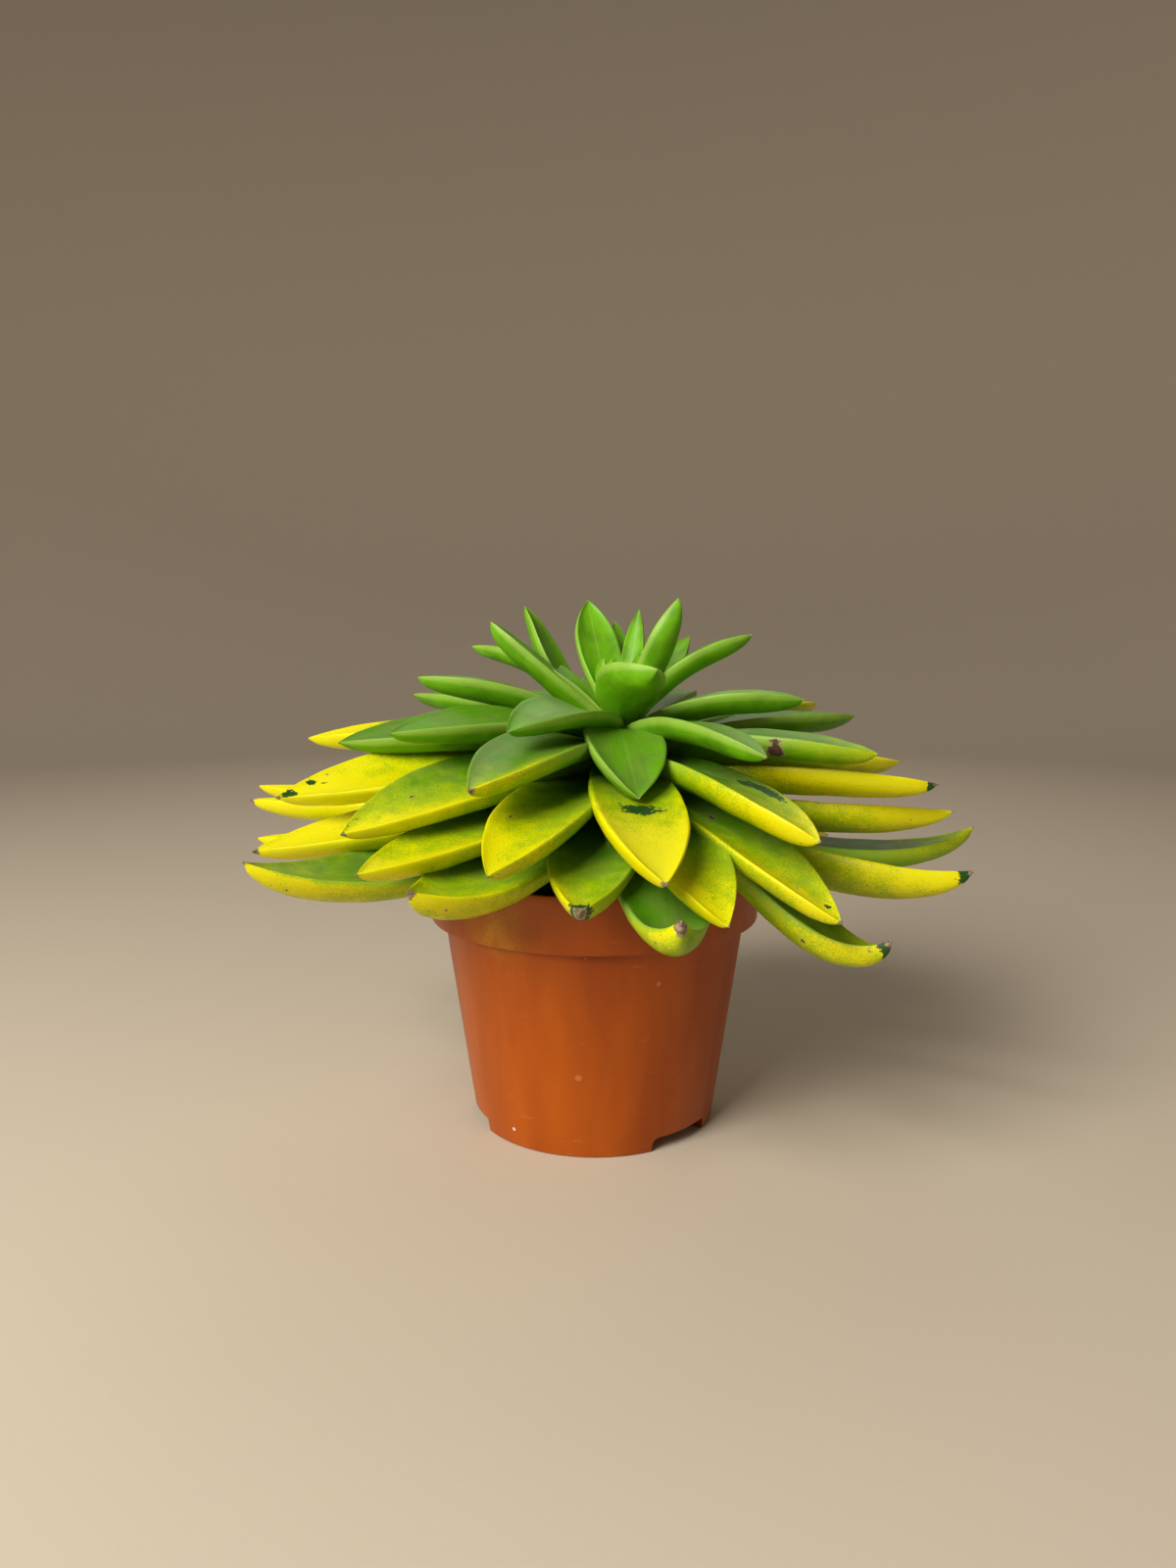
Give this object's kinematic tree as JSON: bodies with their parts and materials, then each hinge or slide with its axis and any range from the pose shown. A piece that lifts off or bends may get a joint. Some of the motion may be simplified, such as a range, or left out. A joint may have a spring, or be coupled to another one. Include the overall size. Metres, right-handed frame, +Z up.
{
  "type": "potted echeveria",
  "caption": "Wide rosette of long pointed echeveria leaves on a short leaning stem, planted in a thin-walled grower's pot with a tall collar and drainage notches in its foot.",
  "frame": {"origin": "on the pot's axis, on the surface that the pot stands on, which is the middle of the bounding box's bottom face", "axes": "+Z up along the pot's axis; the front that the picture shows faces -Y; +X to the right as seen from the front"},
  "size_m": [0.234, 0.1859, 0.1637],
  "materials": {
    "pot_plastic": "smooth injection-moulded terracotta-coloured plastic, semi-gloss",
    "potting_soil": "dark, crumbly, dull",
    "leaf_green": "fleshy green leaf with a thin grey bloom, satin",
    "leaf_painted": "fleshy green leaf with yellow spray paint from the tip, satin"
  },
  "bodies": {
    "root": {"pot": "pot_plastic", "soil": "potting_soil", "stem_and_heart": "leaf_green", "leaf_01": "leaf_green", "leaf_02": "leaf_green", "leaf_03": "leaf_green", "leaf_04": "leaf_green", "leaf_05": "leaf_green", "leaf_06": "leaf_green", "leaf_07": "leaf_green", "leaf_08": "leaf_green", "leaf_09": "leaf_green", "leaf_10": "leaf_painted", "leaf_11": "leaf_green", "leaf_12": "leaf_green", "leaf_13": "leaf_green", "leaf_14": "leaf_green", "leaf_15": "leaf_painted", "leaf_16": "leaf_painted", "leaf_17": "leaf_green", "leaf_18": "leaf_green", "leaf_19": "leaf_green", "leaf_20": "leaf_green", "leaf_21": "leaf_painted", "leaf_22": "leaf_painted", "leaf_23": "leaf_painted", "leaf_24": "leaf_painted", "leaf_25": "leaf_painted", "leaf_26": "leaf_painted", "leaf_27": "leaf_painted", "leaf_28": "leaf_painted", "leaf_29": "leaf_painted", "leaf_30": "leaf_painted", "leaf_31": "leaf_painted", "leaf_32": "leaf_painted", "leaf_33": "leaf_painted", "leaf_34": "leaf_painted", "leaf_35": "leaf_painted", "leaf_36": "leaf_painted", "leaf_37": "leaf_painted", "leaf_38": "leaf_painted", "leaf_39": "leaf_painted", "leaf_40": "leaf_painted", "leaf_41": "leaf_painted", "leaf_42": "leaf_painted", "leaf_43": "leaf_painted", "leaf_44": "leaf_painted", "leaf_45": "leaf_painted", "leaf_46": "leaf_painted", "leaf_47": "leaf_painted", "leaf_48": "leaf_painted", "leaf_49": "leaf_painted", "leaf_50": "leaf_painted", "leaf_51": "leaf_painted", "leaf_52": "leaf_painted", "leaf_53": "leaf_painted", "leaf_54": "leaf_painted", "leaf_55": "leaf_painted"}
  },
  "joints": []
}
